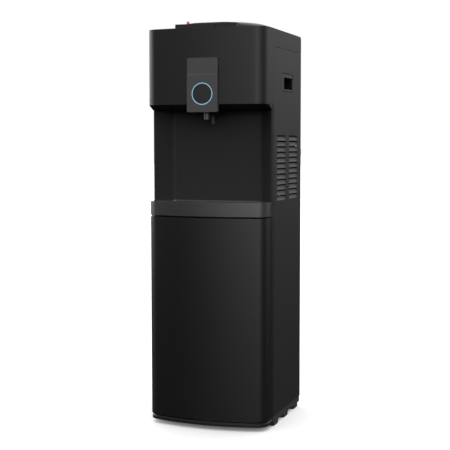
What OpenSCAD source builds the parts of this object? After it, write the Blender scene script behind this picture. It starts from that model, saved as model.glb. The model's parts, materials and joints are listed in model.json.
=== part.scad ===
// Floor-standing bottom-loading water dispenser.
// Millimetres, +Z up, the door faces -Y, origin under the middle of the whole object on the floor.

/* [Body] */
// Width over the side panels
body_w = 325; // [300:5:360]
// Depth from the front of the door to the rear edges of the side panels
body_d = 340.5; // [320:0.5:380]
// Height of the head's front edge
top_z = 1026; // [1000:1:1060]
// How far the refrigerant pipe bend stands out behind the side panels
loop_out = 24; // [18:1:30]
// Thickness of the steel sheet
sheet = 1.2; // [0.8:0.1:1.6]
// Wall of the plastic mouldings
wall = 3; // [2:0.5:4]

/* [Head] */
// Height of the head's lower edge
head_z = 834; // [810:1:860]
// How far the sloping underside drops towards the back
underside_drop = 12; // [6:1:16]
// How far the middle of the head bows out
head_bow = 14; // [8:1:24]
// Radius of the head's upright corners
head_corner = 36; // [24:1:44]
// Height of the rim moulding above the steel side panels
rim_h = 45; // [35:1:60]
// Width of the faceplate
plate_w = 82; // [70:1:100]
// Height of the faceplate's lower edge
plate_z = 814; // [800:1:825]
// Height of the faceplate
plate_h = 136; // [120:1:150]
// How far the faceplate stands in front of the door
plate_proud = 4.5; // [3:0.5:8]
// Outer radius of the light ring
ring_r = 28; // [20:0.5:34]
// Width of the light ring
ring_w = 2.8; // [2:0.1:6]

/* [Buttons] */
// Height of the buttons' tops
deck_z = 1037; // [1032:1:1044]
// Half width over the three buttons
buttons_half_w = 82.5; // [75:0.5:95]
// Radius of the round platform behind the buttons
dome_r = 130; // [120:1:135]
// How far the platform rises above the head's front edge
dome_rise = 18; // [12:0.5:18.5]
// Travel of each button
button_travel = 4; // [2:0.5:6]
// Travel of the red child lock
lock_travel = 4; // [2:0.5:5]

/* [Alcove and tray] */
// How far the alcove's side walls stand behind the front of the door
wing_setback = 67.5; // [50:0.5:80]
// How far the alcove's back wall stands behind the front of the door
alcove_d = 112; // [104:1:116]
// Radius of the alcove's rear corners
alcove_corner = 16; // [12:1:20]
// Splay of the alcove's side walls towards its mouth, in degrees
alcove_splay = 40; // [25:1:42]
// Height of the drip tray's lower edge
tray_z = 550; // [530:1:570]
// Height of the drip tray's band
tray_h = 36; // [28:1:44]

/* [Door] */
// Height of the door's lower edge
door_z = 25; // [22:1:30]
// Height of the door's upper edge
door_top = 546; // [530:1:546]
// How far the middle of the door bows out
door_bow = 26.7; // [15:0.1:34]
// Radius of the door's upright corners
door_corner = 34; // [24:1:40]
// Distance of the hinge pins from the side of the door
pin_in = 10.5; // [9:0.5:14]
// Radius of the hinge pins
pin_r = 3; // [2:0.5:4]

/* [Base] */
// Height of the rails' underside
rail_z = 11; // [8:1:14]
// Length of each foot at the floor
foot_l = 36; // [24:1:44]

/* [Side panels] */
// Louvres in a column
louvre_rows = 12; // [6:1:14]
// Distance from one louvre to the next
louvre_pitch = 14.2; // [12:0.1:15]
// Height of the lowest louvre
louvre_z = 587; // [570:1:620]
// Length of a louvre
louvre_l = 82; // [60:1:84]

/* [Hidden] */
$fn = 48;

half_w = body_w / 2;
front_y = -(plate_proud + body_d + loop_out) / 2 + plate_proud;
rear_y = front_y + body_d;
head_front_y = front_y + 2;
wing_y = front_y + wing_setback;
seam_y = wing_y + 17.5;
back_wall_y = front_y + alcove_d;
rear_panel_y = rear_y - 21.5;
door_back_y = wing_y - 3.5;
rim_z = top_z - rim_h;
side_z = rail_z + 16;
gap = 0.3;
corner_steps = 10;
bow_steps = 28;

// Colours
satin_black = "#242425";
door_black = "#1c1c1d";
alcove_black = "#2a2a2b";
steel_black = "#333334";
plate_grey = "#464647";
tray_grey = "#434344";
rail_grey = "#3a3a3b";
spout_grey = "#4c4c4d";
bright_steel = "#b9bcbf";
galvanised = "#8e9193";
foam_white = "#e8e6df";
rubber_black = "#161616";

// Outline of a bowed front: half width w, foremost point at apex, bow height s, corner radius r,
// straight sides to the line y = back, and the whole front moved in by d.
function bow_radius(w, s) = (w * w + s * s) / (2 * s);
function bow(w, apex, s, r, back, d = 0) =
    let (big = bow_radius(w, s),
         cy = apex + big,
         fx = w - r,
         fy = cy - sqrt(pow(big - r, 2) - fx * fx),
         a = atan2(fx, cy - fy),
         rr = r - d,
         bb = big - d)
    concat(
        [[-(w - d), back]],
        [for (i = [0 : corner_steps]) let (p = 90 - (90 - a) * i / corner_steps)
            [-fx - rr * sin(p), fy - rr * cos(p)]],
        [for (i = [1 : bow_steps - 1]) let (t = -a + 2 * a * i / bow_steps)
            [bb * sin(t), cy - bb * cos(t)]],
        [for (i = [0 : corner_steps]) let (p = a + (90 - a) * i / corner_steps)
            [fx + rr * sin(p), fy - rr * cos(p)]],
        [[w - d, back]]);

function head_line(back, d = 0) = bow(half_w, head_front_y, head_bow, head_corner, back, d);
function door_line(back, d = 0) = bow(half_w, front_y, door_bow, door_corner, back, d);

// Plan of the alcove's hollow, moved in by d: straight before its mouth, then splayed, with round
// rear corners about [alcove_cx, alcove_cy].
alcove_half_w = half_w - 3.2;
alcove_cy = back_wall_y - alcove_corner;
alcove_cx = alcove_half_w - alcove_corner * cos(alcove_splay)
    - (alcove_cy + alcove_corner * sin(alcove_splay) - wing_y) * tan(alcove_splay);
function alcove_side(front, d) =
    let (w = alcove_half_w - d,
         r = alcove_corner - d,
         turn = 90 - alcove_splay)
    concat(
        [[w, front], [w, wing_y - d * tan(alcove_splay / 2)]],
        [for (i = [0 : corner_steps]) let (p = alcove_splay + turn * i / corner_steps)
            [alcove_cx + r * cos(p), alcove_cy + r * sin(p)]]);
function alcove_line(front, d = 0) =
    let (side = alcove_side(front, d))
    concat([for (p = side) [-p[0], p[1]]], [for (i = [len(side) - 1 : -1 : 0]) side[i]]);

module box(x0, y0, z0, x1, y1, z1) {
    translate([x0, y0, z0])
        cube([x1 - x0, y1 - y0, z1 - z0]);
}

module slab(z0, z1) {
    translate([0, 0, z0])
        linear_extrude(z1 - z0)
            children();
}

module mirrored(side) {
    mirror([side < 0 ? 1 : 0, 0, 0])
        children();
}

// Cylinder along Y
module rod_y(x, y, z, r, l) {
    translate([x, y, z])
        rotate([-90, 0, 0])
            cylinder(r = r, h = l);
}

// Cylinder along X
module rod_x(x, y, z, r, l) {
    translate([x, y, z])
        rotate([0, 90, 0])
            cylinder(r = r, h = l);
}

// ---- Base ----

base_top = door_z - 3;
skirt_top = door_z - 5.5;
skirt_in = 1.2;

module base_frame() {
    color(satin_black) {
        slab(rail_z, skirt_top)
            difference() {
                polygon(door_line(seam_y, skirt_in));
                polygon(door_line(seam_y - wall, skirt_in + wall));
            }
        slab(base_top - wall, base_top) {
            polygon(door_line(seam_y, skirt_in + wall - 0.5));
            translate([-half_w + rail_in + gap, seam_y - 1])
                square([body_w - 2 * rail_in - 2 * gap, rear_panel_y - seam_y]);
        }
        for (x = [-100, 0, 100])
            box(x - 2, seam_y, rail_z + 1, x + 2, rear_panel_y - 20, base_top - wall);
    }
}

foot_y = [-69, 23, 120];
rail_in = 13;

module side_rail(side) {
    mirrored(side)
        color(rail_grey)
            difference() {
                union() {
                    box(half_w - rail_in, seam_y + 2, rail_z, half_w - 1, rear_y - 2, side_z);
                    for (y = foot_y)
                        translate([half_w - rail_in, y, 0])
                            rotate([90, 0, 90])
                                linear_extrude(rail_in - 1)
                                    polygon([[-foot_l / 2, 0], [foot_l / 2, 0],
                                        [foot_l / 2 + 4, rail_z + 1], [-foot_l / 2 - 4, rail_z + 1]]);
                }
                for (i = [0 : 2])
                    box(half_w - rail_in - 1, foot_y[i] + (i == 0 ? 30 : -70), rail_z - 1,
                        half_w - 4, foot_y[i] + (i == 0 ? 70 : -30), side_z - 4);
            }
}

module left_side_rail() { side_rail(-1); }

module right_side_rail() { side_rail(1); }

bottle_r = 128;

module bottle_floor() {
    color(alcove_black)
        difference() {
            box(-145, seam_y + 8.3, base_top, 145, rear_panel_y - 4, base_top + 8);
            translate([0, 2, base_top + 4])
                cylinder(r = bottle_r, h = 10, $fn = 96);
        }
}

// ---- Side and rear panels ----

pocket_y0 = front_y + 157;
pocket_y1 = pocket_y0 + 103;
pocket_z0 = top_z - 156.5;
pocket_z1 = pocket_z0 + 50;
pocket_depth = 29;
louvre_y = [seam_y + 26, seam_y + 138];
louvre_face = 9.6;
louvre_in = 4.2;
seam_gap = 0.8;

module louvre_blade(y, z) {
    translate([half_w - sheet, y - 0.8, z])
        rotate([0, -atan(louvre_in / louvre_face), 0])
            cube([sheet, louvre_l + 1.6, louvre_face]);
}

module side_panel(side) {
    mirrored(side)
        color(steel_black)
            union() {
                difference() {
                    box(half_w - sheet, seam_y + seam_gap, side_z, half_w, rear_y,
                        rim_z - seam_gap);
                    box(half_w - 5, pocket_y0 + 1.5, pocket_z0 + 1.5, half_w + 1,
                        pocket_y1 - 1.5, pocket_z1 - 1.5);
                    for (y = louvre_y)
                        for (i = [0 : louvre_rows - 1])
                            box(half_w - 5, y, louvre_z + i * louvre_pitch + 0.6, half_w + 1,
                                y + louvre_l, louvre_z + (i + 1) * louvre_pitch - 1.4);
                }
                for (y = louvre_y)
                    for (i = [0 : louvre_rows - 1])
                        louvre_blade(y, louvre_z + i * louvre_pitch);
            }
}

module left_side_panel() { side_panel(-1); }

module right_side_panel() { side_panel(1); }

module handle_pocket(side) {
    x_in = half_w - pocket_depth;
    rim = 4;
    mirrored(side)
        color(satin_black)
            difference() {
                union() {
                    box(x_in, pocket_y0 + 2, pocket_z0 + 2, half_w, pocket_y1 - 2, pocket_z1 - 2);
                    box(half_w - sheet - 3, pocket_y0 - rim, pocket_z0 - rim, half_w - sheet - 0.1,
                        pocket_y1 + rim, pocket_z1 + rim);
                }
                box(x_in + 2.5, pocket_y0 + 18, pocket_z0 + 7, half_w + 1, pocket_y1 - 5,
                    pocket_z1 - 13);
            }
}

module left_handle_pocket() { handle_pocket(-1); }

module right_handle_pocket() { handle_pocket(1); }

switch_x = [84, 112];
switch_z = 930;
switch_w = 22;
switch_h = 30;
inlet_x = -96;
inlet_z = 250;
drain_x = 78;
drain_z = 800;
loop_x = half_w - 7.5;
loop_z = 711;
loop_bend_r = 19;
pipe_r = 2.5;
vent_rows = 9;
vent_x = [-110, -40, 30, 100];
vent_z = 60;
vent_pitch = 14;
vent_l = 50;
vent_h = 5;
screw_r = 1.8;
screw_head_r = 3.6;
screw_head_h = 2;

module rear_panel() {
    y = rear_panel_y;
    w = half_w - sheet - 0.2;
    color(steel_black)
        difference() {
            union() {
                box(-w, y, side_z, w, y + sheet, rim_z - 1);
                for (x = [-w, w - sheet])
                    box(x, y, side_z, x + sheet, y + 14, rim_z - 1);
            }
            for (x = switch_x)
                box(x - switch_w / 2, y - 1, switch_z - switch_h / 2, x + switch_w / 2, y + 3,
                    switch_z + switch_h / 2);
            box(inlet_x - 14, y - 1, inlet_z - 10, inlet_x + 14, y + 3, inlet_z + 10);
            rod_y(drain_x, y - 1, drain_z, 8, 4);
            for (z = [loop_z - loop_bend_r, loop_z + loop_bend_r])
                rod_y(loop_x, y - 1, z, pipe_r + 1, 4);
            for (x = vent_x)
                for (i = [0 : vent_rows - 1])
                    box(x - vent_l / 2, y - 1, vent_z + i * vent_pitch, x + vent_l / 2, y + 3,
                        vent_z + i * vent_pitch + vent_h);
            for (p = screw_places)
                rod_y(p[0], y - 1, p[1], screw_r + 0.1, 4);
        }
}

screw_places = [for (x = [-148, 148]) for (z = [60, 300, 540, 780, 960]) [x, z]];

module rear_screws() {
    color(galvanised)
        for (p = screw_places) {
            rod_y(p[0], rear_panel_y - 6, p[1], screw_r, 8);
            rod_y(p[0], rear_panel_y + sheet, p[1], screw_head_r, screw_head_h);
        }
}

// ---- Front frame and shelves ----

module front_frame() {
    z1 = tray_z - 0.2;
    color(satin_black)
        difference() {
            union() {
                box(-half_w, wing_y, side_z, half_w, seam_y, z1);
                box(-half_w + sheet + 0.4, seam_y - 1, side_z, half_w - sheet - 0.4, seam_y + 8, z1);
                box(-half_w + 4, wing_y, base_top, half_w - 4, seam_y - gap, side_z + 1);
            }
            box(-half_w + 16, wing_y - 1, side_z + 4, half_w - 16, seam_y + 9, z1 - 14);
        }
}

module mid_shelf() {
    w = half_w - sheet - 0.4;
    color(galvanised)
        difference() {
            box(-w, seam_y + 8.3, tray_z - 2.2, w, rear_panel_y - 0.2, tray_z - 0.2);
            translate([hose_x, hose_y, tray_z - 5])
                cylinder(r = hose_r + 1, h = 10);
        }
}

module tank_shelf() {
    w = half_w - sheet - 0.4;
    color(galvanised)
        difference() {
            box(-w, back_wall_y + 6, tank_z - 2, w, rear_panel_y - 0.2, tank_z);
            translate([riser_x, pump_y, tank_z - 5])
                cylinder(r = tube_r + 1, h = 10);
        }
}

// ---- Alcove, head and top ----

alcove_wall = 1.7;

module alcove_liner() {
    color(alcove_black)
        difference() {
            union() {
                slab(tray_z, head_z)
                    polygon(alcove_line(wing_y, -alcove_wall));
                box(-half_w, wing_y, tray_z, half_w, seam_y - 0.1, head_z);
            }
            slab(tray_z - 1, head_z + 1)
                polygon(alcove_line(wing_y - 1));
        }
}

module head_shell() {
    color(satin_black)
        difference() {
            union() {
                slab(head_z, top_z)
                    difference() {
                        polygon(head_line(seam_y));
                        polygon(head_line(seam_y + 1, wall));
                    }
                slab(rim_z, top_z)
                    difference() {
                        polygon(head_line(rear_y));
                        polygon(head_line(rear_y - wall, wall));
                    }
                box(-half_w + 1, rear_panel_y, rim_z, half_w - 1, rear_y - 1, rim_z + 2);
            }
            box(-plate_w / 2 - gap, head_front_y - 5, head_z - 1, plate_w / 2 + gap,
                head_front_y + 12, plate_z + plate_h + gap);
            translate([-half_w - 1, rear_y, top_z])
                rotate([90, 0, 90])
                    linear_extrude(body_w + 2)
                        difference() {
                            translate([-9, -9])
                                square(10);
                            translate([-9, -9])
                                circle(r = 9);
                        }
        }
}

low_z = head_z - underside_drop;

module underside(z_top, z_low, d) {
    hull() {
        slab(z_top, z_top + 0.2)
            polygon(head_line(wing_y - 0.3, d));
        slab(z_low, z_low + 0.2)
            polygon(bow(half_w - d, front_y + 36, 24, 6, wing_y - 0.3));
    }
}

module head_floor() {
    color(satin_black)
        difference() {
            union() {
                underside(head_z - 0.4, low_z, 0);
                slab(low_z, low_z + wall)
                    polygon(alcove_line(wing_y - 1, 0.2));
            }
            translate([0, 1, 0])
                underside(head_z + 2, low_z + wall, wall);
            box(-alcove_half_w + 3, wing_y - 6, low_z + wall, alcove_half_w - 3, wing_y + 1, head_z + 2);
            box(-nozzle_w / 2 - gap, front_y - 5, low_z - 1, nozzle_w / 2 + gap, nozzle_back + gap,
                head_z + 1);
            box(-plate_w / 2 - gap, front_y - 5, low_z - 1, plate_w / 2 + gap, plate_back + gap,
                head_z + 1);
        }
}

cover_z = top_z - 2;
strip_y = front_y + 22;
button_back = front_y + 57.5;
well_y = button_back + 3;
well_wall = 1.5;
well_half_w = buttons_half_w + 3.5;
well_z = deck_z - 29;

module top_cover() {
    color(satin_black)
        difference() {
            slab(cover_z - wall, cover_z)
                polygon(head_line(rear_y - wall - gap, wall + gap));
            box(-well_half_w - gap, strip_y - 2 - gap, cover_z - 5, well_half_w + gap,
                well_y + gap, cover_z + 1);
        }
}

deck_wall = 2.5;
dome_y = front_y + 160;
dome_edge = 25;

// Half section of the round platform with its skin moved in by d, standing on the height z
function dome_section(z, d) = concat(
    [[0, z], [dome_r - d, z]],
    [for (i = [0 : corner_steps]) let (p = 90 * i / corner_steps)
        [dome_r - dome_edge + (dome_edge - d) * cos(p), top_z + (dome_rise - d) * sin(p)]],
    [[0, top_z + dome_rise - d]]);

module dome(z, d) {
    translate([0, dome_y, 0])
        rotate_extrude($fn = 96)
            polygon(dome_section(z, d));
}

module button_deck() {
    color(satin_black)
        difference() {
            union() {
                dome(cover_z, 0);
                box(-well_half_w, strip_y - 2, well_z, well_half_w, well_y, cover_z + 1);
            }
            difference() {
                dome(cover_z - 1, deck_wall);
                box(-well_half_w, strip_y - 2, cover_z - 2, well_half_w, well_y, deck_z + 10);
            }
            box(-well_half_w + well_wall, strip_y - 0.5, well_z + 2, well_half_w - well_wall,
                well_y - well_wall, deck_z + 10);
            box(-well_half_w + well_wall, strip_y - 3, cover_z, well_half_w - well_wall, strip_y,
                deck_z + 10);
        }
}

button_gap = 2;
button_w = (2 * buttons_half_w - 2 * button_gap) / 3;
button_bottom = well_z + 11;

module button(i) {
    x0 = -buttons_half_w + i * (button_w + button_gap);
    difference() {
        box(x0, strip_y, button_bottom, x0 + button_w, button_back, deck_z + 0.5);
        box(x0 + 2, strip_y + 2, button_bottom - 1, x0 + button_w - 2, button_back - 2, deck_z - 2.5);
    }
}

lock_x = -buttons_half_w + button_w * 0.6;
lock_y = strip_y + 8.5;
lock_r = 2.5;
lock_clear = 0.5;

module hot_button() {
    color(satin_black)
        difference() {
            button(0);
            for (y = [lock_y, lock_y + lock_travel])
                translate([lock_x, y, deck_z - 5])
                    cylinder(r = lock_r + lock_clear, h = 8);
            box(lock_x - lock_r - lock_clear, lock_y, deck_z - 5, lock_x + lock_r + lock_clear,
                lock_y + lock_travel, deck_z + 3);
        }
}

module room_button() {
    color(satin_black)
        button(1);
}

module cold_button() {
    color(satin_black)
        button(2);
}

module child_lock() {
    color("#d8232a")
        translate([lock_x, lock_y, 0]) {
            translate([0, 0, deck_z - 5.5])
                cylinder(r = 5, h = 2.5);
            translate([0, 0, deck_z - 4])
                cylinder(r = lock_r, h = 5.5);
            translate([0, 0, deck_z + 0.9])
                rotate_extrude()
                    intersection() {
                        translate([0, 0.6])
                            scale([4.2 / 7, 1])
                                circle(r = 7);
                        square([5, 7]);
                    }
        }
}

module button_pads() {
    color("#5a5a5c")
        for (i = [0 : 2])
            translate([-buttons_half_w + (i + 0.5) * button_w + i * button_gap, strip_y + 26,
                    well_z + 2]) {
                cylinder(r = 6, h = 2);
                cylinder(r = 4, h = deck_z - 2.5 - button_travel - 0.5 - well_z - 2);
            }
}

// ---- Faceplate and outlets ----

plate_front = front_y - plate_proud;
split_z = plate_z + 94;
ring_z = plate_z + 46;
plate_back = head_front_y + 5;
plate_skin = 4.5;
plate_step = 2.6;
plate_corner = 3;

module plate_block(z0, z1, front) {
    r = plate_corner;
    hull()
        for (x = [-plate_w / 2 + r, plate_w / 2 - r])
            for (z = [z0, z1])
                rod_y(x, front, z, r, plate_back - front, $fn = 24);
}

module faceplate_upper() {
    z = split_z + plate_step + 0.2;
    front = plate_front + plate_step;
    color(plate_grey) {
        difference() {
            plate_block(split_z + 20, plate_z + plate_h - plate_corner, front);
            box(-plate_w, plate_front - 1, split_z - 10, plate_w, plate_back + 1, z);
            box(-plate_w / 2 + plate_corner, plate_front + plate_skin, split_z,
                plate_w / 2 - plate_corner, plate_back + 1, plate_z + plate_h - plate_corner);
        }
        box(-plate_w / 2, front, z, plate_w / 2, plate_front + plate_skin, split_z + 21);
    }
}

module faceplate_lower() {
    r = plate_corner;
    w = plate_w / 2;
    deep = plate_back - plate_front;
    color(plate_grey)
        difference() {
            union() {
                box(-w, plate_front, plate_z + r, w, plate_back, split_z);
                box(-w + r, plate_front, plate_z, w - r, plate_back, plate_z + r + 1);
                for (x = [-w + r, w - r])
                    rod_y(x, plate_front, plate_z + r, r, deep);
                translate([-w, plate_front, split_z])
                    rotate([90, 0, 90])
                        linear_extrude(plate_w)
                            polygon([[0, 0], [deep, 0], [deep, plate_step], [plate_step, plate_step]]);
            }
            box(-w + r, plate_front + plate_skin, plate_z + r, w - r, plate_back + 1,
                split_z + plate_step + 1);
            rod_y(0, plate_front - 1, ring_z, ring_r, deep + 2);
        }
}

module light_ring() {
    color("#8ed1e8")
        difference() {
            rod_y(0, plate_front, ring_z, ring_r, plate_skin);
            rod_y(0, plate_front - 1, ring_z, ring_r - ring_w, 8);
        }
}

module ring_disc() {
    color("#2a2a29") {
        rod_y(0, plate_front + 0.4, ring_z, ring_r - ring_w - 0.1, plate_skin);
        rod_y(0, plate_front + plate_skin, ring_z, ring_r + 1.5, 2);
    }
}

module control_board() {
    y = plate_back + 1;
    color("#1f5a36")
        box(-32, y, ring_z - 22, 32, y + 1.6, ring_z + 66);
    color("#1d1d1f") {
        box(-20, y + 1.6, ring_z + 2, 4, y + 6, ring_z + 26);
        box(10, y + 1.6, ring_z + 30, 28, y + 10, ring_z + 44);
    }
}

nozzle_w = 56;
nozzle_back = front_y + 92;
front_spout_y = front_y + 32;
rear_spout_y = front_y + 79;

module nozzle_block() {
    color(satin_black)
        difference() {
            union() {
                box(-nozzle_w / 2, plate_back + 4, plate_z + 1, nozzle_w / 2, nozzle_back, head_z + 6);
                box(-18, rear_spout_y - 12, plate_z - 8, 18, rear_spout_y + 12, plate_z + 2);
            }
            translate([0, front_spout_y, plate_z - 10])
                cylinder(r = 5, h = 60);
            translate([0, rear_spout_y, plate_z - 10])
                cylinder(r = 4, h = 60);
        }
}

module spout(y, z, z1, r, bore) {
    translate([0, y, z])
        rotate_extrude()
            polygon([[bore, 0], [r - 1, 0], [r, 1.2], [r, z1 - z], [bore, z1 - z]]);
}

module front_spout() {
    color(spout_grey)
        spout(front_spout_y, plate_z - 19, plate_z + 1, 7.5, 5);
}

module rear_spout() {
    color(spout_grey)
        spout(rear_spout_y, plate_z - 30, plate_z - 8, 5.5, 4);
}

valve_z = head_z + 6;

module valve_block() {
    color("#d9d6cc")
        box(-27, front_spout_y - 8, valve_z, 27, rear_spout_y + 9, valve_z + 16);
    color("#2b4a8c")
        for (x = [-16, 16])
            translate([x, (front_spout_y + rear_spout_y) / 2, valve_z + 16])
                cylinder(r = 10, h = 26);
}

// ---- Drip tray ----

shelf_top = tray_z + 4;

module tray_shelf() {
    color(satin_black)
        slab(tray_z - 0.2, shelf_top)
            intersection() {
                polygon(door_line(back_wall_y + 1, wall + 1));
                union() {
                    polygon(alcove_line(wing_y - 0.2, 0.3));
                    translate([-half_w, front_y - 5])
                        square([body_w, wing_y - front_y + 4.8]);
                }
            }
}

tray_floor_z = shelf_top + 0.6;
grille_z = tray_z + tray_h - 5;
grille_bar_half_w = 128;
slot_pitch = 15;
slot_w = 10;
slot_y0 = front_y + 26;

module basin_plan(d) {
    intersection() {
        polygon(door_line(back_wall_y + 5, wall + d));
        polygon(alcove_line(front_y - 5, 1.6 + d));
    }
}

module drip_tray() {
    color(tray_grey)
        union() {
            slab(tray_z, tray_z + tray_h)
                difference() {
                    polygon(door_line(wing_y - 4));
                    polygon(door_line(wing_y - 3, wall));
                }
            slab(tray_floor_z, tray_z + tray_h)
                difference() {
                    basin_plan(-0.2);
                    basin_plan(2);
                }
            slab(tray_floor_z, tray_floor_z + 2)
                basin_plan(0);
            slab(tray_floor_z, grille_z)
                difference() {
                    basin_plan(1);
                    basin_plan(5);
                }
        }
}

module drip_grille() {
    color("#6c6e70") {
        difference() {
            slab(grille_z, grille_z + 2)
                basin_plan(2.4);
            for (i = [-8 : 8])
                box(i * slot_pitch - slot_w / 2, slot_y0, grille_z - 1, i * slot_pitch + slot_w / 2,
                    back_wall_y - 12, grille_z + 4);
        }
        for (y = [slot_y0 + 20 : 20 : slot_y0 + 60])
            box(-grille_bar_half_w, y - 1, grille_z, grille_bar_half_w, y + 1, grille_z + 1.6);
    }
}

// ---- Door ----

pin_x = -half_w + pin_in;
pin_y = front_y + 43;
pin_l = 14;

module pin_holes() {
    for (z = [door_z - 1, door_top - pin_l])
        translate([pin_x, pin_y, z])
            cylinder(r = pin_r + 0.1, h = pin_l + 2);
}

module door_panel() {
    color(door_black)
        difference() {
            union() {
                slab(door_z, door_top)
                    difference() {
                        polygon(door_line(door_back_y));
                        polygon(door_line(door_back_y + 1, wall));
                    }
                for (z = [door_z, door_top - wall])
                    slab(z, z + wall)
                        difference() {
                            polygon(door_line(door_back_y));
                            polygon(door_line(door_back_y + 1, 22));
                        }
            }
            pin_holes();
        }
}

liner_in = wall + 0.2;

module door_liner() {
    z0 = door_z + wall;
    z1 = door_top - wall;
    color(alcove_black)
        difference() {
            union() {
                slab(z0, z1)
                    difference() {
                        polygon(door_line(door_back_y, 20));
                        polygon(door_line(door_back_y + 1, 22.5));
                    }
                slab(z0, z1)
                    difference() {
                        intersection() {
                            polygon(door_line(door_back_y, liner_in));
                            translate([-half_w, door_back_y - 2.5])
                                square([body_w, 2.5]);
                        }
                        polygon(door_line(door_back_y + 1, 22));
                    }
                for (z = [z0, z1 - 2.5])
                    slab(z, z + 2.5)
                        difference() {
                            polygon(door_line(door_back_y, liner_in));
                            polygon(door_line(door_back_y + 1, 22));
                        }
            }
            pin_holes();
            box(magnet_x - 5, door_back_y - 7, magnet_z - 21, magnet_x + 5, door_back_y + 1,
                magnet_z + 21);
        }
}

magnet_x = half_w - 11;
magnet_z = 290;

module door_magnet() {
    color("#3b3b3d")
        box(magnet_x - 5, door_back_y - 6, magnet_z - 21, magnet_x + 5, door_back_y + 2.2,
            magnet_z + 21);
}

module catch_plate() {
    color(bright_steel)
        box(magnet_x - 5, wing_y - 1, magnet_z - 24, magnet_x + 5, wing_y, magnet_z + 24);
}

module hinge_pins() {
    color(bright_steel) {
        translate([pin_x, pin_y, door_z - 3])
            cylinder(r = pin_r, h = pin_l);
        translate([pin_x, pin_y, door_top + 3 - pin_l])
            cylinder(r = pin_r, h = pin_l);
    }
}

module hinge_plate(z) {
    difference() {
        union() {
            translate([pin_x, pin_y, z])
                cylinder(r = 7, h = 2);
            box(pin_x - 7, pin_y, z, pin_x + 9, wing_y + 1, z + 2);
        }
        translate([pin_x, pin_y, z - 1])
            cylinder(r = pin_r, h = 4);
    }
}

module hinge_brackets() {
    color(galvanised) {
        difference() {
            hinge_plate(door_z - 3);
            box(-half_w, wing_y, 0, 0, wing_y + 5, 100);
        }
        difference() {
            hinge_plate(door_top + 1);
            box(-half_w, wing_y, 500, 0, wing_y + 5, 600);
        }
    }
}

// ---- Cooling ----

comp_x = -80;
comp_y = 62;
comp_r = 60;
comp_z = tray_z + 14;

module compressor() {
    color("#1a1a1c")
        translate([comp_x, comp_y, comp_z]) {
            rotate_extrude($fn = 64)
                polygon(concat(
                    [[0, 0], [comp_r - 14, 0]],
                    [for (i = [0 : 6]) let (p = 90 * i / 6)
                        [comp_r - 14 + 12 * sin(p), 14 - 14 * cos(p)]],
                    [[comp_r - 2, 84], [comp_r, 86], [comp_r, 94], [comp_r - 2, 96]],
                    [for (i = [1 : 7]) let (p = 90 * i / 7)
                        [(comp_r - 2) * cos(p), 120 + 40 * sin(p)]]));
            translate([comp_r - 12, -20, 60])
                cube([22, 40, 46]);
        }
    color("#1a1a1c")
        difference() {
            translate([comp_x - 62, comp_y - 56, comp_z - 3])
                cube([124, 112, 3.2]);
            for (p = mount_places)
                translate([p[0], p[1], comp_z - 5])
                    cylinder(r = grommet_neck_r + 0.2, h = 8);
        }
}

grommet_neck_r = 6;
foot_rise = comp_z - 3 - (tray_z - 0.2);
mount_places = [for (x = [-52, 52]) for (y = [-46, 46]) [comp_x + x, comp_y + y]];

module compressor_mounts() {
    color(rubber_black)
        for (p = mount_places)
            translate([p[0], p[1], tray_z - 0.2])
                rotate_extrude()
                    polygon([[2.5, 0], [9, 0], [9, foot_rise], [grommet_neck_r, foot_rise],
                        [grommet_neck_r, foot_rise + 3.4], [8, foot_rise + 3.4],
                        [8, foot_rise + 6.8], [2.5, foot_rise + 6.8]]);
}

coil_rows = 9;
coil_pitch = 52;
coil_z = 340;
coil_half_w = 108;
wire_r = 0.8;
wire_over = 14;
coil_y = rear_panel_y + 12;

module u_bend(x, z, side) {
    translate([x, coil_y, z])
        rotate([90, 0, 0])
            rotate([0, 0, side > 0 ? -90 : 90])
                rotate_extrude(angle = 180)
                    translate([coil_pitch / 2, 0])
                        circle(r = pipe_r);
}

module condenser() {
    color("#202022") {
        for (i = [0 : coil_rows - 1])
            rod_x(-coil_half_w, coil_y, coil_z + i * coil_pitch, pipe_r, 2 * coil_half_w);
        for (i = [0 : coil_rows - 2])
            u_bend(i % 2 == 0 ? coil_half_w : -coil_half_w, coil_z + (i + 0.5) * coil_pitch,
                i % 2 == 0 ? 1 : -1);
        for (x = [-100 : 10 : 100])
            translate([x, coil_y + pipe_r + 0.5, coil_z - wire_over])
                cylinder(r = wire_r, h = (coil_rows - 1) * coil_pitch + 2 * wire_over, $fn = 16);
        for (x = [-95, 95])
            for (i = [1, coil_rows - 2])
                box(x - 2, rear_panel_y + sheet, coil_z + i * coil_pitch - 6, x + 2,
                    coil_y + pipe_r + 1, coil_z + i * coil_pitch + 6);
    }
}

module refrigerant_loop() {
    bend_y = rear_y + loop_out - pipe_r - loop_bend_r;
    color("#a9abac") {
        for (z = [loop_z - loop_bend_r, loop_z + loop_bend_r])
            rod_y(loop_x, rear_panel_y - 12, z, pipe_r, bend_y - rear_panel_y + 12);
        translate([loop_x, bend_y, loop_z])
            rotate([0, 90, 0])
                rotate_extrude(angle = 180)
                    translate([loop_bend_r, 0])
                        circle(r = pipe_r);
    }
}

// ---- Water system ----

tank_z = 764;
cold_x = -58;
hot_x = 78;
tank_y = 60;

module can(x, r, z0, h, edge) {
    translate([x, tank_y, z0])
        rotate_extrude($fn = 64)
            polygon([[0, 0], [r - edge, 0], [r, edge], [r, h - edge], [r - edge, h], [0, h]]);
}

module jacket(x, r_in, r_out, h) {
    color(foam_white)
        difference() {
            can(x, r_out, tank_z, h, 2);
            can(x, r_in + 0.05, tank_z + 10, h - 20, 4);
            rod_y(x, tank_y - r_out - 2, outlet_z, 5.2, r_out);
            if (x == hot_x)
                rod_y(x, tank_y, drain_z, 6.2, r_out + 2);
        }
}

cold_h = 190;
hot_h = 180;
outlet_z = tank_z + 126;

module cold_tank() {
    color(bright_steel)
        can(cold_x, 58, tank_z + 10, cold_h - 20, 4);
}

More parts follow.
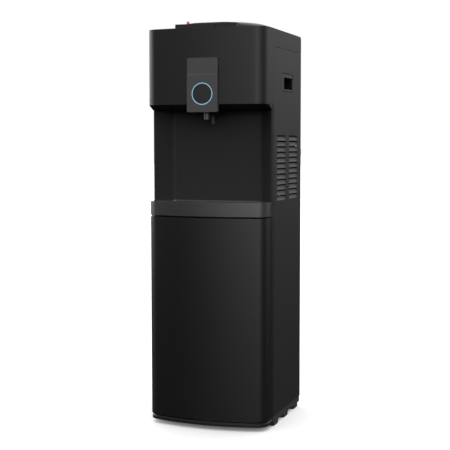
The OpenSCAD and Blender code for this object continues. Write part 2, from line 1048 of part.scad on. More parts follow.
module cold_tank_jacket() { jacket(cold_x, 58, 72, cold_h); }

module hot_tank() {
    color(bright_steel) {
        can(hot_x, 42, tank_z + 10, hot_h - 20, 4);
        rod_y(hot_x, tank_y + 30, drain_z, 6, rear_panel_y - tank_y - 26);
    }
}

module hot_tank_jacket() { jacket(hot_x, 42, 50, hot_h); }

pump_x = 96;
pump_y = 50;
pump_z = tray_z - 0.2;

module water_pump() {
    color("#26282a")
        translate([pump_x, pump_y, pump_z]) {
            translate([-30, -30, 0])
                cube([60, 60, 5]);
            cylinder(r = 24, h = 52);
            translate([0, 0, 52])
                cylinder(r = 18, h = 16);
            rotate([-90, 0, 0])
                translate([0, -40, 0])
                    cylinder(r = 5, h = 34);
        }
}

hose_x = pump_x + 32;
hose_y = pump_y + 58;
hose_r = 4;
probe_top = 488;

module elbow(x, y, z, turn, r) {
    translate([x, y, z])
        rotate(turn)
            rotate_extrude(angle = 90)
                translate([r, 0])
                    circle(r = hose_r);
}

module suction_hose() {
    z1 = pump_z + 40;
    bend = 16;
    color("#dfe3e4") {
        translate([hose_x, hose_y, probe_top])
            cylinder(r = hose_r, h = z1 - bend - probe_top);
        elbow(hose_x - bend, hose_y, z1 - bend, [90, 0, 0], bend);
        elbow(pump_x + bend, hose_y - bend, z1, [0, 0, 90], bend);
        rod_y(pump_x, pump_y + 34, z1, hose_r, hose_y - bend - pump_y - 34);
    }
}

module probe_cap() {
    color("#f0f0ee")
        translate([hose_x, hose_y, probe_top])
            mirror([0, 0, 1])
                rotate_extrude()
                    polygon([[0, 0], [12, 0], [26, 6], [26, 26], [24, 26], [24, 9], [8, 9], [8, 14],
                        [0, 14]]);
}

module probe_wand() {
    color("#e4e7e8")
        translate([hose_x, hose_y, probe_top - 14 - 400])
            difference() {
                cylinder(r = 7, h = 400);
                translate([0, 0, -1])
                    cylinder(r = 4, h = 390);
            }
}

module probe_clip() {
    color("#8b8d8f")
        difference() {
            box(hose_x - 11, hose_y - 6, 300, hose_x + 11, rear_panel_y, 318);
            translate([hose_x, hose_y, 299])
                cylinder(r = 7.3, h = 20);
            box(hose_x - 5.5, hose_y - 10, 299, hose_x + 5.5, hose_y, 319);
        }
}

// A tube made of straight runs along the axes with a ball at each corner
module tube_run(points, r) {
    for (i = [0 : len(points) - 2])
        straight_run(points[i], points[i + 1], r);
    for (i = [1 : len(points) - 2])
        translate(points[i])
            sphere(r = r);
}

module straight_run(a, b, r) {
    d = b - a;
    l = norm(d);
    translate(a)
        rotate([0, acos(d[2] / l), atan2(d[1], d[0])])
            cylinder(r = r, h = l);
}

tube_r = 4;
riser_x = 21;
tee_z = 966;

module water_tubes() {
    y = front_spout_y + 4;
    color("#dfe3e4") {
        tube_run([[cold_x, tank_y - 58, outlet_z], [cold_x, y, outlet_z],
            [-16, y, outlet_z], [-16, y, valve_z + 16]], tube_r);
        tube_run([[hot_x, tank_y - 42, outlet_z], [hot_x, y, outlet_z],
            [16, y, outlet_z], [16, y, valve_z + 16]], tube_r);
        tube_run([[pump_x, pump_y, pump_z + 68], [pump_x, pump_y, pump_z + 110],
            [riser_x, pump_y, pump_z + 110], [riser_x, pump_y, tee_z]], tube_r);
        tube_run([[cold_x, pump_y, tank_z + cold_h], [cold_x, pump_y, tee_z],
            [hot_x, pump_y, tee_z], [hot_x, pump_y, tank_z + hot_h]], tube_r);
    }
}

// ---- Rear fittings ----

module switch_housing() {
    color(rubber_black)
        for (x = switch_x)
            difference() {
                union() {
                    box(x - switch_w / 2 - 2, rear_panel_y + sheet, switch_z - switch_h / 2 - 2,
                        x + switch_w / 2 + 2, rear_panel_y + sheet + 2, switch_z + switch_h / 2 + 2);
                    box(x - switch_w / 2 + 0.1, rear_panel_y - 16, switch_z - switch_h / 2 + 0.1,
                        x + switch_w / 2 - 0.1, rear_panel_y + sheet + 1, switch_z + switch_h / 2 - 0.1);
                }
                box(x - 7.5, rear_panel_y - 8, switch_z - 11.5, x + 7.5, rear_panel_y + 6,
                    switch_z + 11.5);
            }
}

rocker_tilt = 6;
rocker_y = rear_panel_y - 1;
rocker_w = 14;
rocker_pin_r = 1.2;

module rocker(x) {
    rod_x(x - rocker_w / 2 - 0.35, rocker_y, switch_z, rocker_pin_r, rocker_w + 0.7);
    translate([x - rocker_w / 2, rocker_y, switch_z])
        rotate([-rocker_tilt, 0, 0])
            rotate([90, 0, 90])
                linear_extrude(rocker_w)
                    polygon([[-2, -8], [2.6, -10.5], [6.2, -10.3], [4.6, 0], [6.2, 10.3],
                        [2.6, 10.5], [-2, 8]]);
}

module heat_switch() {
    color("#c8252b")
        rocker(switch_x[0]);
}

module chill_switch() {
    color("#2f7d4a")
        rocker(switch_x[1]);
}

module power_inlet() {
    y = rear_panel_y;
    color(rubber_black)
        difference() {
            union() {
                box(inlet_x - 24, y + sheet, inlet_z - 13, inlet_x + 24, y + sheet + 2.5, inlet_z + 13);
                box(inlet_x - 13.8, y - 16, inlet_z - 9.8, inlet_x + 13.8, y + sheet + 1,
                    inlet_z + 9.8);
            }
            box(inlet_x - 12, y - 12, inlet_z - 8, inlet_x + 12, y + 6, inlet_z + 8);
        }
    color(bright_steel)
        for (x = [-7, 0, 7])
            box(inlet_x + x - 1, y - 13, inlet_z - 2 + (x == 0 ? 3 : 0), inlet_x + x + 1, y - 1,
                inlet_z + 2 + (x == 0 ? 3 : 0));
}

module drain_cap() {
    y = rear_panel_y + sheet + 0.4;
    color(rubber_black)
        difference() {
            union() {
                rod_y(drain_x, y, drain_z, 11, 9);
                for (a = [0 : 30 : 330])
                    rod_y(drain_x + 11 * cos(a), y, drain_z + 11 * sin(a), 1.2, 9, $fn = 16);
            }
            rod_y(drain_x, y - 1, drain_z, 6.1, 5);
        }
}

base_frame();
left_side_rail();
right_side_rail();
left_side_panel();
right_side_panel();
left_handle_pocket();
right_handle_pocket();
rear_panel();
front_frame();
alcove_liner();
head_shell();
head_floor();
top_cover();
button_deck();
faceplate_upper();
faceplate_lower();
light_ring();
ring_disc();
control_board();
nozzle_block();
front_spout();
rear_spout();
valve_block();
tray_shelf();
drip_tray();
drip_grille();
door_panel();
door_liner();
door_magnet();
catch_plate();
hinge_pins();
hinge_brackets();
bottle_floor();
mid_shelf();
tank_shelf();
compressor();
compressor_mounts();
condenser();
refrigerant_loop();
cold_tank();
cold_tank_jacket();
hot_tank();
hot_tank_jacket();
water_pump();
suction_hose();
probe_cap();
probe_wand();
probe_clip();
hot_button();
room_button();
cold_button();
child_lock();
button_pads();
switch_housing();
heat_switch();
chill_switch();
power_inlet();
drain_cap();
water_tubes();
rear_screws();
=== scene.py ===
import json
import math

import bmesh
import bpy
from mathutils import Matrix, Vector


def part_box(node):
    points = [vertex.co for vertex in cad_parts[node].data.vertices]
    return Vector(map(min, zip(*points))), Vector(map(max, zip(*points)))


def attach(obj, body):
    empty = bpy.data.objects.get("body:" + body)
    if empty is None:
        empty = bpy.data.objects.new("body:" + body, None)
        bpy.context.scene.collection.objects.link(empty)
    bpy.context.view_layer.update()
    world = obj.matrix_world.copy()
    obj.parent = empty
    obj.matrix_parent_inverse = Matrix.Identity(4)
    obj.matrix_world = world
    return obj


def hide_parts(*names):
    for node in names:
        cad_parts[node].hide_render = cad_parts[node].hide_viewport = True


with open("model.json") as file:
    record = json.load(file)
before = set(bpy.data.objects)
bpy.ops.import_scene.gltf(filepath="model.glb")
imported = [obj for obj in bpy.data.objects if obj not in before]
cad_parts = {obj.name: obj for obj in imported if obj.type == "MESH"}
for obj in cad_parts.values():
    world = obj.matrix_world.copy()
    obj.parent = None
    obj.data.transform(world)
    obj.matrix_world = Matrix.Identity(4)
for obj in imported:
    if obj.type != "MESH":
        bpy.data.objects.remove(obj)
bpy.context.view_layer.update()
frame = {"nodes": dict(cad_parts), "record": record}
cadNodes = frame["nodes"]
bodies = frame["record"]["behaviour"]["bodies"]
nodeBody = {node: body for body, members in bodies.items() for node in members}
nodeSlot = {part["node"]: part["material_slot"] for part in frame["record"]["subparts"]}
mm = 0.001
print("frame loaded:", len(cadNodes), "nodes")


# one output socket; sums on it add Math nodes
class Field:
    def __init__(self, net, socket):
        self.net = net
        self.socket = socket

    def maths(self, operation, other, turned=False):
        pair = [other, self] if turned else [self, other]
        return self.net.add("ShaderNodeMath", {"operation": operation}, dict(enumerate(pair)))

    def __add__(self, other):
        return self.maths("ADD", other)

    def __radd__(self, other):
        return self.maths("ADD", other, True)

    def __sub__(self, other):
        return self.maths("SUBTRACT", other)

    def __rsub__(self, other):
        return self.maths("SUBTRACT", other, True)

    def __mul__(self, other):
        return self.maths("MULTIPLY", other)

    def __rmul__(self, other):
        return self.maths("MULTIPLY", other, True)

    def __truediv__(self, other):
        return self.maths("DIVIDE", other)

    def __pow__(self, other):
        return self.maths("POWER", other)

    def __rpow__(self, other):
        return self.maths("POWER", other, True)

    def __gt__(self, other):
        return self.maths("GREATER_THAN", other)

    def most(self, other):
        return self.maths("MAXIMUM", other)


# a node tree and the one way to add a node to it
class Net:
    def __init__(self, tree):
        self.tree = tree

    def feed(self, socket, value):
        if isinstance(value, Field):
            self.tree.links.new(value.socket, socket)
        else:
            socket.default_value = value

    def add(self, kind, settings=None, inputs=None, output=0):
        node = self.tree.nodes.new(kind)
        for key, value in (settings or {}).items():
            setattr(node, key, value)
        for key, value in (inputs or {}).items():
            self.feed(node.inputs[key], value)
        return Field(self, node.outputs[output])

    def between(self, low, high, share):
        return self.add("ShaderNodeMix", {"data_type": "RGBA"}, {0: share, 6: low, 7: high}, 2)

    def step(self, value, start, end):
        settings = {"interpolation_type": "SMOOTHSTEP"}
        return self.add("ShaderNodeMapRange", settings, {0: value, 1: start, 2: end, 3: 0.0, 4: 1.0})


# a material with its shader; fixed values sit on the shader's own sockets
class Finish(Net):
    def __init__(self, name, fixed):
        self.material = bpy.data.materials.new(name)
        self.material.use_nodes = True
        super().__init__(self.material.node_tree)
        self.shader = self.tree.nodes["Principled BSDF"]
        for socket, value in fixed.items():
            self.shader.inputs[socket].default_value = value
        self.place = self.add("ShaderNodeTexCoord", output="Object")

    def stretched(self, scale):
        return self.add("ShaderNodeMapping", {"vector_type": "POINT"}, {"Vector": self.place, "Scale": scale})

    def noise(self, scale, detail=2.0, rough=0.5, place=None):
        inputs = {"Vector": place or self.place, "Scale": scale, "Detail": detail, "Roughness": rough}
        return self.add("ShaderNodeTexNoise", {}, inputs)

    def bump(self, height, distance):
        return self.add("ShaderNodeBump", {}, {"Height": height, "Distance": distance, "Strength": 1.0})

    def wear(self, **sockets):
        for name, value in sockets.items():
            self.feed(self.shader.inputs[name.replace("_", " ")], value)
        return self.material


def tint(code, gain=1.0):
    parts = [int(code[i:i + 2], 16) / 255 for i in (1, 3, 5)]
    linear = [part / 12.92 if part <= 0.04045 else ((part + 0.055) / 1.055) ** 2.4 for part in parts]
    return (*[min(1.0, part * gain) for part in linear], 1.0)


# moulded plastic: spark-eroded grain, a slow drift in shade and a little handling in the gloss
def moulded(name, look):
    made = Finish(name, {"Specular IOR Level": look["shine"], "Coat Weight": look.get("coat", 0.0),
                         "Coat Roughness": 0.12})
    drift = made.noise(4.0, 3.0)
    grain = made.noise(1 / look["grain"], 2.0)
    marks = made.noise(26.0, 5.0, 0.62)
    shade = made.between(tint(look["colour"], 0.86), tint(look["colour"], 1.14), drift * 0.7 + grain * 0.3)
    rough = look["rough"] + (marks - 0.5) * look["patchy"] + (grain - 0.5) * 0.05
    return made.wear(Base_Color=shade, Roughness=rough, Normal=made.bump(grain, look["depth"]))


# powder-coated sheet: orange peel over a fine speckle
def coated(name, look):
    made = Finish(name, {"Specular IOR Level": look["shine"]})
    peel = made.noise(260.0, 2.0)
    speck = made.noise(1500.0, 1.0)
    drift = made.noise(3.0, 2.0)
    shade = made.between(tint(look["colour"], 0.88), tint(look["colour"], 1.12), drift * 0.6 + speck * 0.4)
    rough = look["rough"] + (drift - 0.5) * 0.06 + (peel - 0.5) * 0.08
    height = peel * 0.7 + speck * 0.3
    return made.wear(Base_Color=shade, Roughness=rough, Normal=made.bump(height, look["depth"]))


# brushed or drawn metal: fine lines along one direction
def drawn(name, look):
    made = Finish(name, {"Metallic": 1.0})
    lines = made.noise(1.0, 3.0, 0.6, made.stretched(look["lines"]))
    smudge = made.noise(18.0, 4.0)
    shade = made.between(tint(look["colour"], 0.82), tint(look["colour"], 1.1), lines)
    rough = look["rough"] + (lines - 0.5) * 0.22 + (smudge - 0.5) * 0.1
    return made.wear(Base_Color=shade, Roughness=rough, Normal=made.bump(lines, look["depth"]))


# hot-dip zinc: crystal cells of slightly different shade
def zinc(name, look):
    made = Finish(name, {"Metallic": 0.85})
    spots = {"Vector": made.place, "Scale": 85.0}
    cells = made.add("ShaderNodeTexVoronoi", {"feature": "F1"}, spots, "Color")
    tone = made.add("ShaderNodeSeparateColor", {}, {"Color": cells})
    shade = made.between(tint(look["colour"], 0.8), tint(look["colour"], 1.1), tone)
    rough = look["rough"] + (tone - 0.5) * 0.2
    return made.wear(Base_Color=shade, Roughness=rough, Normal=made.bump(made.noise(400.0), 0.00002))


# moulded bead foam
def beads(name, look):
    made = Finish(name, {"Specular IOR Level": 0.3})
    spots = {"Vector": made.place, "Scale": 260.0}
    cell = made.add("ShaderNodeTexVoronoi", {"feature": "F1"}, spots, "Distance")
    shade = made.between(tint(look["colour"], 1.0), tint(look["colour"], 0.72), cell)
    return made.wear(Base_Color=shade, Roughness=0.82 + cell * 0.1, Normal=made.bump(1 - cell, 0.0004))


# soft rubber with bloom
def rubbery(name, look):
    made = Finish(name, {"Specular IOR Level": 0.3})
    bloom = made.noise(40.0, 4.0)
    grain = made.noise(900.0, 2.0)
    shade = made.between(tint(look["colour"], 0.8), tint(look["colour"], 1.5), bloom)
    return made.wear(Base_Color=shade, Roughness=look["rough"] + (bloom - 0.5) * 0.15,
                     Normal=made.bump(grain, 0.00003))


# light guide, brightest along the middle of its width
def glowing(name, look):
    made = Finish(name, {"Emission Strength": look["power"], "Roughness": 0.3})
    parts = {"x": 0, "z": 2}
    split = {axis: made.add("ShaderNodeSeparateXYZ", {}, {0: made.place}, at) for axis, at in parts.items()}
    up = split["z"] - look["centre"][2]
    reach = (split["x"] * split["x"] + up * up) ** 0.5
    off = made.add("ShaderNodeMath", {"operation": "ABSOLUTE"}, {0: (reach - look["radius"]) / look["half"]})
    core = 1 - made.step(off, 0.1, 0.9)
    cloud = made.noise(120.0, 2.0)
    glow = made.between(tint(look["edge"]), tint(look["core"]), core * 0.85 + cloud * 0.15)
    return made.wear(Base_Color=glow, Emission_Color=glow, Roughness=0.28 + cloud * 0.08)


# printed circuit board: solder mask with a faint grid of traces
def board(name, look):
    made = Finish(name, {"Specular IOR Level": 0.5})
    bands = {"bands_direction": "X"}
    ripple = {"Vector": made.place, "Scale": 140.0, "Distortion": 3.0}
    wave = made.add("ShaderNodeTexWave", bands, ripple, "Fac")
    shade = made.between(tint(look["colour"], 0.75), tint(look["colour"], 1.35), made.step(wave, 0.6, 0.75))
    return made.wear(Base_Color=shade, Roughness=0.3 + wave * 0.1, Normal=made.bump(wave, 0.00003))


ringCentre = (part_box("light_ring")[0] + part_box("light_ring")[1]) / 2
ringOuter = (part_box("light_ring")[1].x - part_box("light_ring")[0].x) / 2
ringWide = 2.8 * mm

finishes = {
    "satin_black_plastic": (moulded, {"colour": "#141415", "rough": 0.42, "patchy": 0.05, "grain": 0.0009,
                                      "depth": 0.00003, "shine": 0.34}),
    "door_black_plastic": (moulded, {"colour": "#0d0d0e", "rough": 0.36, "patchy": 0.05, "grain": 0.0009,
                                     "depth": 0.00003, "shine": 0.5}),
    "alcove_black_plastic": (moulded, {"colour": "#2a2a2b", "rough": 0.6, "patchy": 0.05, "grain": 0.0009,
                                       "depth": 0.00003, "shine": 0.12}),
    "black_coated_steel": (coated, {"colour": "#1b1b1c", "rough": 0.46, "depth": 0.00005, "shine": 0.4}),
    "plate_grey_plastic": (moulded, {"colour": "#424243", "rough": 0.44, "patchy": 0.05, "grain": 0.0008,
                                     "depth": 0.00003, "shine": 0.35}),
    "tray_grey_plastic": (moulded, {"colour": "#161617", "rough": 0.45, "patchy": 0.05, "grain": 0.0008,
                                    "depth": 0.00003, "shine": 1.0, "coat": 0.8}),
    "rail_grey_plastic": (moulded, {"colour": "#343435", "rough": 0.5, "patchy": 0.06, "grain": 0.001,
                                    "depth": 0.00004, "shine": 0.35}),
    "spout_grey_plastic": (moulded, {"colour": "#3c3c3d", "rough": 0.28, "patchy": 0.04, "grain": 0.0008,
                                     "depth": 0.00001, "shine": 0.5}),
    "grille_metal": (drawn, {"colour": "#6c6e70", "rough": 0.38, "lines": (12, 1400, 400), "depth": 0.00002}),
    "stainless": (drawn, {"colour": "#b9bcbf", "rough": 0.3, "lines": (900, 900, 12), "depth": 0.00001}),
    "galvanised_sheet": (zinc, {"colour": "#8e9193", "rough": 0.45}),
    "foam": (beads, {"colour": "#e8e6df"}),
    "black_rubber": (rubbery, {"colour": "#161616", "rough": 0.7}),
    "compressor_paint": (coated, {"colour": "#141416", "rough": 0.3, "depth": 0.00004, "shine": 0.5}),
    "coil_paint": (coated, {"colour": "#1c1c1e", "rough": 0.45, "depth": 0.00003, "shine": 0.45}),
    "grey_pipe": (coated, {"colour": "#a9abac", "rough": 0.4, "depth": 0.00003, "shine": 0.5}),
    "clear_tube": (moulded, {"colour": "#dfe3e4", "rough": 0.22, "patchy": 0.08, "grain": 0.002,
                             "depth": 0.00001, "shine": 0.5, "coat": 0.4}),
    "white_plastic": (moulded, {"colour": "#f0f0ee", "rough": 0.3, "patchy": 0.05, "grain": 0.0008,
                                "depth": 0.00001, "shine": 0.5}),
    "red_plastic": (moulded, {"colour": "#d8232a", "rough": 0.26, "patchy": 0.05, "grain": 0.0008,
                              "depth": 0.00001, "shine": 0.5}),
    "green_plastic": (moulded, {"colour": "#2f7d4a", "rough": 0.28, "patchy": 0.05, "grain": 0.0008,
                                "depth": 0.00001, "shine": 0.5}),
    "ring_light": (glowing, {"core": "#a2d2e4", "edge": "#1f5a73", "power": 0.36, "centre": ringCentre,
                             "radius": ringOuter - ringWide / 2, "half": ringWide / 2}),
    "disc_black": (moulded, {"colour": "#171717", "rough": 0.24, "patchy": 0.04, "grain": 0.0008,
                             "depth": 0.00001, "shine": 0.45}),
    # painted shade: near-black for the inside of the handle pockets, standing in for the shade that falls in
    # them
    "hollow_black": (moulded, {"colour": "#060606", "rough": 0.6, "patchy": 0.05, "grain": 0.001,
                               "depth": 0.00002, "shine": 0.08}),
    "board_green": (board, {"colour": "#1f5a36"}),
    "valve_white": (moulded, {"colour": "#d9d6cc", "rough": 0.45, "patchy": 0.05, "grain": 0.001,
                              "depth": 0.00002, "shine": 0.4}),
    "pump_black": (moulded, {"colour": "#1e2022", "rough": 0.45, "patchy": 0.05, "grain": 0.001,
                             "depth": 0.00003, "shine": 0.4}),
    "clip_grey": (moulded, {"colour": "#8b8d8f", "rough": 0.45, "patchy": 0.05, "grain": 0.001,
                            "depth": 0.00002, "shine": 0.4}),
    "pad_grey": (rubbery, {"colour": "#5a5a5c", "rough": 0.65}),
    "magnet_dark": (coated, {"colour": "#3b3b3d", "rough": 0.5, "depth": 0.00004, "shine": 0.5}),
}
materials = {slot: make(slot.replace("_", "-"), look) for slot, (make, look) in finishes.items()}
print("finishes made:", len(materials))


def camel(words):
    first, *rest = words.split("_")
    return first + "".join(word.capitalize() for word in rest)


# hands a finished mesh over as a piece of the model
def hand(name, shape, body, slot, stands=(), keepSharp=35, thick=0.0):
    mesh = bpy.data.meshes.new(name)
    shape.to_mesh(mesh)
    shape.free()
    piece = bpy.data.objects.new(name, mesh)
    bpy.context.scene.collection.objects.link(piece)
    mesh.materials.append(materials[slot])
    mesh.shade_smooth()
    mesh.set_sharp_from_angle(angle=math.radians(keepSharp))
    if thick:
        folded = piece.modifiers.new("sheet", "SOLIDIFY")
        folded.thickness = thick
        folded.offset = -1
        eased = piece.modifiers.new("edges", "BEVEL")
        eased.width = 0.25 * mm
        eased.segments = 2
        eased.angle_limit = math.radians(50)
    evener = piece.modifiers.new("even", "WEIGHTED_NORMAL")
    evener.keep_sharp = True
    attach(piece, body)
    if stands:
        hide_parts(*stands)
    return piece


# rounds every hard edge of a shape
def roundEdges(shape, width, steps=2, harderThan=32):
    edges = [edge for edge in shape.edges
             if len(edge.link_faces) == 2 and edge.calc_face_angle(0) > math.radians(harderThan)]
    bmesh.ops.bevel(shape, geom=edges, offset=width, offset_type="OFFSET", segments=steps, profile=0.5,
                    affect="EDGES", clamp_overlap=True)
    return shape


# the CAD shape with its flats whole again
def fromCad(node):
    shape = bmesh.new()
    shape.from_mesh(cadNodes[node].data)
    bmesh.ops.remove_doubles(shape, verts=shape.verts, dist=0.004 * mm)
    bmesh.ops.dissolve_limit(shape, angle_limit=math.radians(0.6), verts=shape.verts, edges=shape.edges)
    return shape


edgeWidths = {
    "base_frame": 1.6, "left_side_rail": 1.0, "right_side_rail": 1.0, "rear_panel": 0.3,
    "front_frame": 0.8, "alcove_liner": 0.5,
    "head_shell": 1.4, "head_floor": 0.6, "top_cover": 0.6, "button_deck": 0.9, "faceplate_upper": 0.35,
    "faceplate_lower": 0.35, "light_ring": 0.4, "ring_disc": 0.3, "control_board": 0.2, "nozzle_block": 0.8,
    "front_spout": 0.5, "rear_spout": 0.4, "valve_block": 0.8, "tray_shelf": 0.5, "drip_tray": 1.1,
    "drip_grille": 0.3, "door_panel": 1.3, "door_liner": 0.6, "door_magnet": 0.3, "catch_plate": 0.2,
    "hinge_pins": 0.3, "hinge_brackets": 0.3, "bottle_floor": 1.0, "mid_shelf": 0.3, "tank_shelf": 0.3,
    "compressor": 1.0, "compressor_mounts": 0.5, "cold_tank_jacket": 1.5, "hot_tank_jacket": 1.5,
    "cold_tank": 1.0, "hot_tank": 1.0, "water_pump": 0.8, "probe_cap": 0.8, "probe_clip": 0.5,
    "hot_button": 0.8, "room_button": 0.8, "cold_button": 0.8, "child_lock": 0.3, "button_pads": 0.4,
    "switch_housing": 0.5, "heat_switch": 0.5, "chill_switch": 0.5, "power_inlet": 0.5, "drain_cap": 0.5,
}
for node, width in edgeWidths.items():
    hand(camel(node), roundEdges(fromCad(node), width * mm), nodeBody[node], nodeSlot[node], [node])
print("pieces rounded:", len(edgeWidths))

# steel side panels: two columns of louvres pressed into one sheet, and the opening for the handle pocket
sidePanel = {
    "sheet": 1.2,
    "columns": (-69, 43),
    "louvreLong": 82,
    "cheek": 9,
    "rows": 12,
    "pitch": 14.2,
    "lowest": 587,
    "face": 9.6,
    "slot": 3.0,
    "deep": 4.4,
    "cheekShares": (0, 0.12, 0.26, 0.42, 0.58, 0.74, 0.88, 1),
    "riseShares": (0, 0.15, 0.3, 0.5, 0.75, 1),
    "opening": ((-21.5, 871), (78.5, 918)),
}


def smooth(share):
    share = min(1.0, max(0.0, share))
    return share * share * (3 - 2 * share)


# how far the sheet is pressed in at a place on the panel, all in millimetres
def pressing(y, z):
    look = sidePanel
    inward = max(min(y - start, start + look["louvreLong"] - y) for start in look["columns"])
    along = min(inward, look["cheek"])
    row, up = divmod(z - look["lowest"] + 0.01, look["pitch"])
    if along <= 0 or not 0 <= row < look["rows"] or up > look["face"] + 0.1:
        return 0.0
    return look["deep"] * smooth(along / look["cheek"]) * math.sin(up / look["face"] * math.pi / 2)


def isCut(y, z):
    look = sidePanel
    (y0, z0), (y1, z1) = look["opening"]
    if y0 < y < y1 and z0 < z < z1:
        return True
    row, up = divmod(z - look["lowest"], look["pitch"])
    inRow = 0 <= row < look["rows"] and look["face"] < up < look["face"] + look["slot"]
    return inRow and any(start < y < start + look["louvreLong"] for start in look["columns"])


def pressPanel(side, node):
    look = sidePanel
    low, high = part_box(node)
    (y0, z0), (y1, z1) = look["opening"]
    acrossLines = {low.y / mm, high.y / mm, y0, y1}
    for start in look["columns"]:
        steps = [look["cheek"] * share for share in look["cheekShares"]]
        acrossLines.update(start + step for step in steps)
        acrossLines.update(start + look["louvreLong"] - step for step in steps)
    upLines = {low.z / mm, high.z / mm, z0, z1}
    for row in range(look["rows"]):
        base = look["lowest"] + row * look["pitch"]
        upLines.update(base + look["face"] * share for share in look["riseShares"])
        upLines.add(base + look["face"] + look["slot"])
    across, up = sorted(acrossLines), sorted(upLines)
    outer = (high.x if side > 0 else -low.x) / mm
    shape = bmesh.new()

    def vert(y, z):
        return shape.verts.new((side * (outer - pressing(y, z)) * mm, y * mm, z * mm))

    rows = [[vert(y, z) for y in across] for z in up]
    for i in range(len(up) - 1):
        for j in range(len(across) - 1):
            if isCut((across[j] + across[j + 1]) / 2, (up[i] + up[i + 1]) / 2):
                continue
            corners = [rows[i][j], rows[i][j + 1], rows[i + 1][j + 1], rows[i + 1][j]]
            shape.faces.new(corners if side > 0 else corners[::-1])
    loose = [vert for vert in shape.verts if not vert.link_faces]
    bmesh.ops.delete(shape, geom=loose, context="VERTS")
    hand(camel(node), shape, nodeBody[node], nodeSlot[node], [node], thick=look["sheet"] * mm)


for side, node in ((1, "right_side_panel"), (-1, "left_side_panel")):
    pressPanel(side, node)
print("side panels pressed")

# finger pocket moulded into each side panel: the hood leans in towards its upper edge; the walls and floor of
# the hollow are painted near-black, a painted shade
pocket = {
    "frame": ((-21, 871.5), (78, 917.5)),
    "hollow": ((-4, 877), (73.5, 906.5)),
    "lean": 1.0,
    "deep": 26,
    "wall": 2.5,
    "narrowing": 2.0,
    "under": 0.2,
    "edge": 1.2,
}


def mouldPocket(side, node):
    look = pocket
    (y0, z0), (y3, z3) = look["frame"]
    (y1, z1), (y2, z2) = look["hollow"]
    face = (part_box(node)[1].x if side > 0 else -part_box(node)[0].x) / mm - look["under"]
    shape = bmesh.new()

    def vert(x, y, z):
        return shape.verts.new((side * x * mm, y * mm, z * mm))

    def loop(x, low, high, lean=0.0):
        return [vert(x, low[0], low[1]), vert(x, high[0], low[1]), vert(x - lean, high[0], high[1]),
                vert(x - lean, low[0], high[1])]

    def bridge(first, second):
        for i in range(4):
            j = (i + 1) % 4
            shape.faces.new((first[i], first[j], second[j], second[i]))

    inset = look["narrowing"]
    back = loop(face - look["deep"] - look["wall"], (y0, z0), (y3, z3))
    rim = loop(face, (y0, z0), (y3, z3), look["lean"])
    mouth = loop(face, (y1, z1), (y2, z2))
    floor = loop(face - look["deep"], (y1 + inset, z1 + inset), (y2 - inset, z2 - inset))
    bridge(back, rim)
    bridge(rim, mouth)
    bridge(mouth, floor)
    shape.faces.new(back[::-1])
    shape.faces.new(floor)
    bmesh.ops.recalc_face_normals(shape, faces=shape.faces)
    roundEdges(shape, look["edge"] * mm, 3, 20)
    piece = hand(camel(node), shape, nodeBody[node], nodeSlot[node], [node])
    # painted shade: the walls and floor inside the hollow take the near-black finish
    piece.data.materials.append(materials["hollow_black"])
    for part in piece.data.polygons:
        inside = y1 < part.center.y / mm < y2 and z1 < part.center.z / mm < z2
        if inside and face - look["deep"] - 1 < abs(part.center.x) / mm < face - 1.5:
            part.material_index = 1


for side, node in ((1, "right_handle_pocket"), (-1, "left_handle_pocket")):
    mouldPocket(side, node)
print("handle pockets moulded")

# pan-head screws with a cross recess along both edges of the back
screw = {"radius": 3.6, "rise": 2.0, "recess": 2.1, "slotHalf": 0.45, "deep": 0.9, "rings": 9, "sectors": 48,
         "across": 148, "heights": (60, 300, 540, 780, 960)}


def screwHead(shape, x, y, z, turn):
    look = screw
    rings = []
    for ring in range(look["rings"] + 1):
        reach = look["radius"] * math.sin(math.pi / 2 * ring / look["rings"])
        rise = look["rise"] * (1 - (reach / look["radius"]) ** 4)
        row = []
        for sector in range(look["sectors"]):
            angle = 2 * math.pi * sector / look["sectors"]
            side, up = reach * math.cos(angle), reach * math.sin(angle)
            sunk = reach < look["recess"] and min(abs(side), abs(up)) < look["slotHalf"]
            height = rise - (look["deep"] if sunk else 0)
            c, s = math.cos(turn), math.sin(turn)
            place = (x + side * c - up * s, y + height, z + side * s + up * c)
            row.append(shape.verts.new([part * mm for part in place]))
            if ring == 0:
                break
        rings.append(row)
    for inner, outer in zip(rings, rings[1:]):
        for sector in range(look["sectors"]):
            follow = (sector + 1) % look["sectors"]
            if len(inner) == 1:
                corners = [inner[0], outer[sector], outer[follow]]
            else:
                corners = [inner[sector], outer[sector], outer[follow], inner[follow]]
            shape.faces.new(corners[::-1])


def driveScrews():
    shape = bmesh.new()
    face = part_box("rear_screws")[1].y / mm - screw["rise"]
    for row, z in enumerate(screw["heights"]):
        for column, x in enumerate((-screw["across"], screw["across"])):
            screwHead(shape, x, face, z, 0.7 * row + 1.9 * column)
    node = "rear_screws"
    hand("rearScrews", shape, nodeBody[node], nodeSlot[node], [node], keepSharp=50)


driveScrews()
print("screws driven")

for node, made in cadNodes.items():
    made.data.materials.clear()
    made.data.materials.append(materials[nodeSlot[node]])

# studio: a sky that fades towards the horizon, and soft boxes far away in it
# turn 0 is in front, 90 at the right
studio = {
    "floorSize": 60.0,
    "sky": {"overhead": 1.37, "low": 0.015},
    "boxes": {
        "key": {"turn": 30, "lift": 8, "tight": 14, "power": 3.7},
        "front": {"turn": 0, "lift": 8, "tight": 14, "power": 1.6},
        "right": {"turn": 120, "lift": 8, "tight": 14, "power": 1.9},
        "left": {"turn": -95, "lift": 8, "tight": 20, "power": 5.4},
        "backRight": {"turn": 150, "lift": 8, "tight": 14, "power": 0.3},
        "backLeft": {"turn": -140, "lift": 8, "tight": 20, "power": 4.6},
        "back": {"turn": 180, "lift": 42, "tight": 14, "power": 1.6},
    },
}


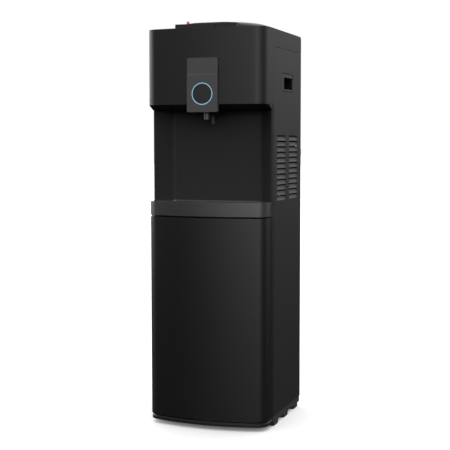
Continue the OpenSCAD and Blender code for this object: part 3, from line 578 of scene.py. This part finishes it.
def layFloor():
    shape = bmesh.new()
    bmesh.ops.create_grid(shape, x_segments=1, y_segments=1, size=studio["floorSize"] / 2)
    mesh = bpy.data.meshes.new("floor")
    shape.to_mesh(mesh)
    shape.free()
    floor = bpy.data.objects.new("floor", mesh)
    bpy.context.scene.collection.objects.link(floor)
    made = Finish("floorPaper", {"Roughness": 0.9, "Specular IOR Level": 0.0, "Emission Strength": 0.08})
    paper = made.noise(30.0, 3.0)
    mesh.materials.append(made.wear(Base_Color=made.between(tint("#fafafa"), tint("#ffffff"), paper)))
    floor.visible_glossy = False
    floor.visible_diffuse = False


# the way from the object to a box in the sky
def heading(turn, lift):
    turn, lift = math.radians(turn), math.radians(lift)
    return math.sin(turn) * math.cos(lift), -math.cos(turn) * math.cos(lift), math.sin(lift)


def lightAir():
    air = bpy.data.worlds.new("studioAir")
    air.use_nodes = True
    net = Net(air.node_tree)
    way = net.add("ShaderNodeTexCoord", output="Generated")
    height = net.add("ShaderNodeSeparateXYZ", {}, {0: way}, 2)
    above = height > 0
    level = height.most(0) * studio["sky"]["overhead"] + (1 - above) * studio["sky"]["low"]
    for box in studio["boxes"].values():
        near = net.add("ShaderNodeVectorMath", {"operation": "DOT_PRODUCT"},
                       {0: way, 1: heading(box["turn"], box["lift"])}, "Value")
        level = level + math.e ** ((near - 1) * box["tight"]) * above * box["power"]
    seen = net.add("ShaderNodeLightPath", output="Is Camera Ray")
    backdrop = air.node_tree.nodes["Background"]
    backdrop.inputs["Color"].default_value = (1, 1, 1, 1)
    net.feed(backdrop.inputs["Strength"], level * (1 - seen) + seen)
    bpy.context.scene.world = air


viewpoint = {"place": (0.961, -2.751, 0.739), "turn": 19.32, "tip": 4.38, "roll": 0.07, "lens": 86.7}


def setCamera():
    camera = bpy.data.objects.new("camera", bpy.data.cameras.new("camera"))
    camera.data.lens = viewpoint["lens"]
    camera.location = viewpoint["place"]
    turns = (90 - viewpoint["tip"], viewpoint["roll"], viewpoint["turn"])
    camera.rotation_euler = [math.radians(turn) for turn in turns]
    camera.data.dof.use_dof = False
    bpy.context.scene.collection.objects.link(camera)
    bpy.context.scene.camera = camera


setCamera()
layFloor()
lightAir()
bpy.context.scene.view_settings.view_transform = "Standard"
print("studio ready")
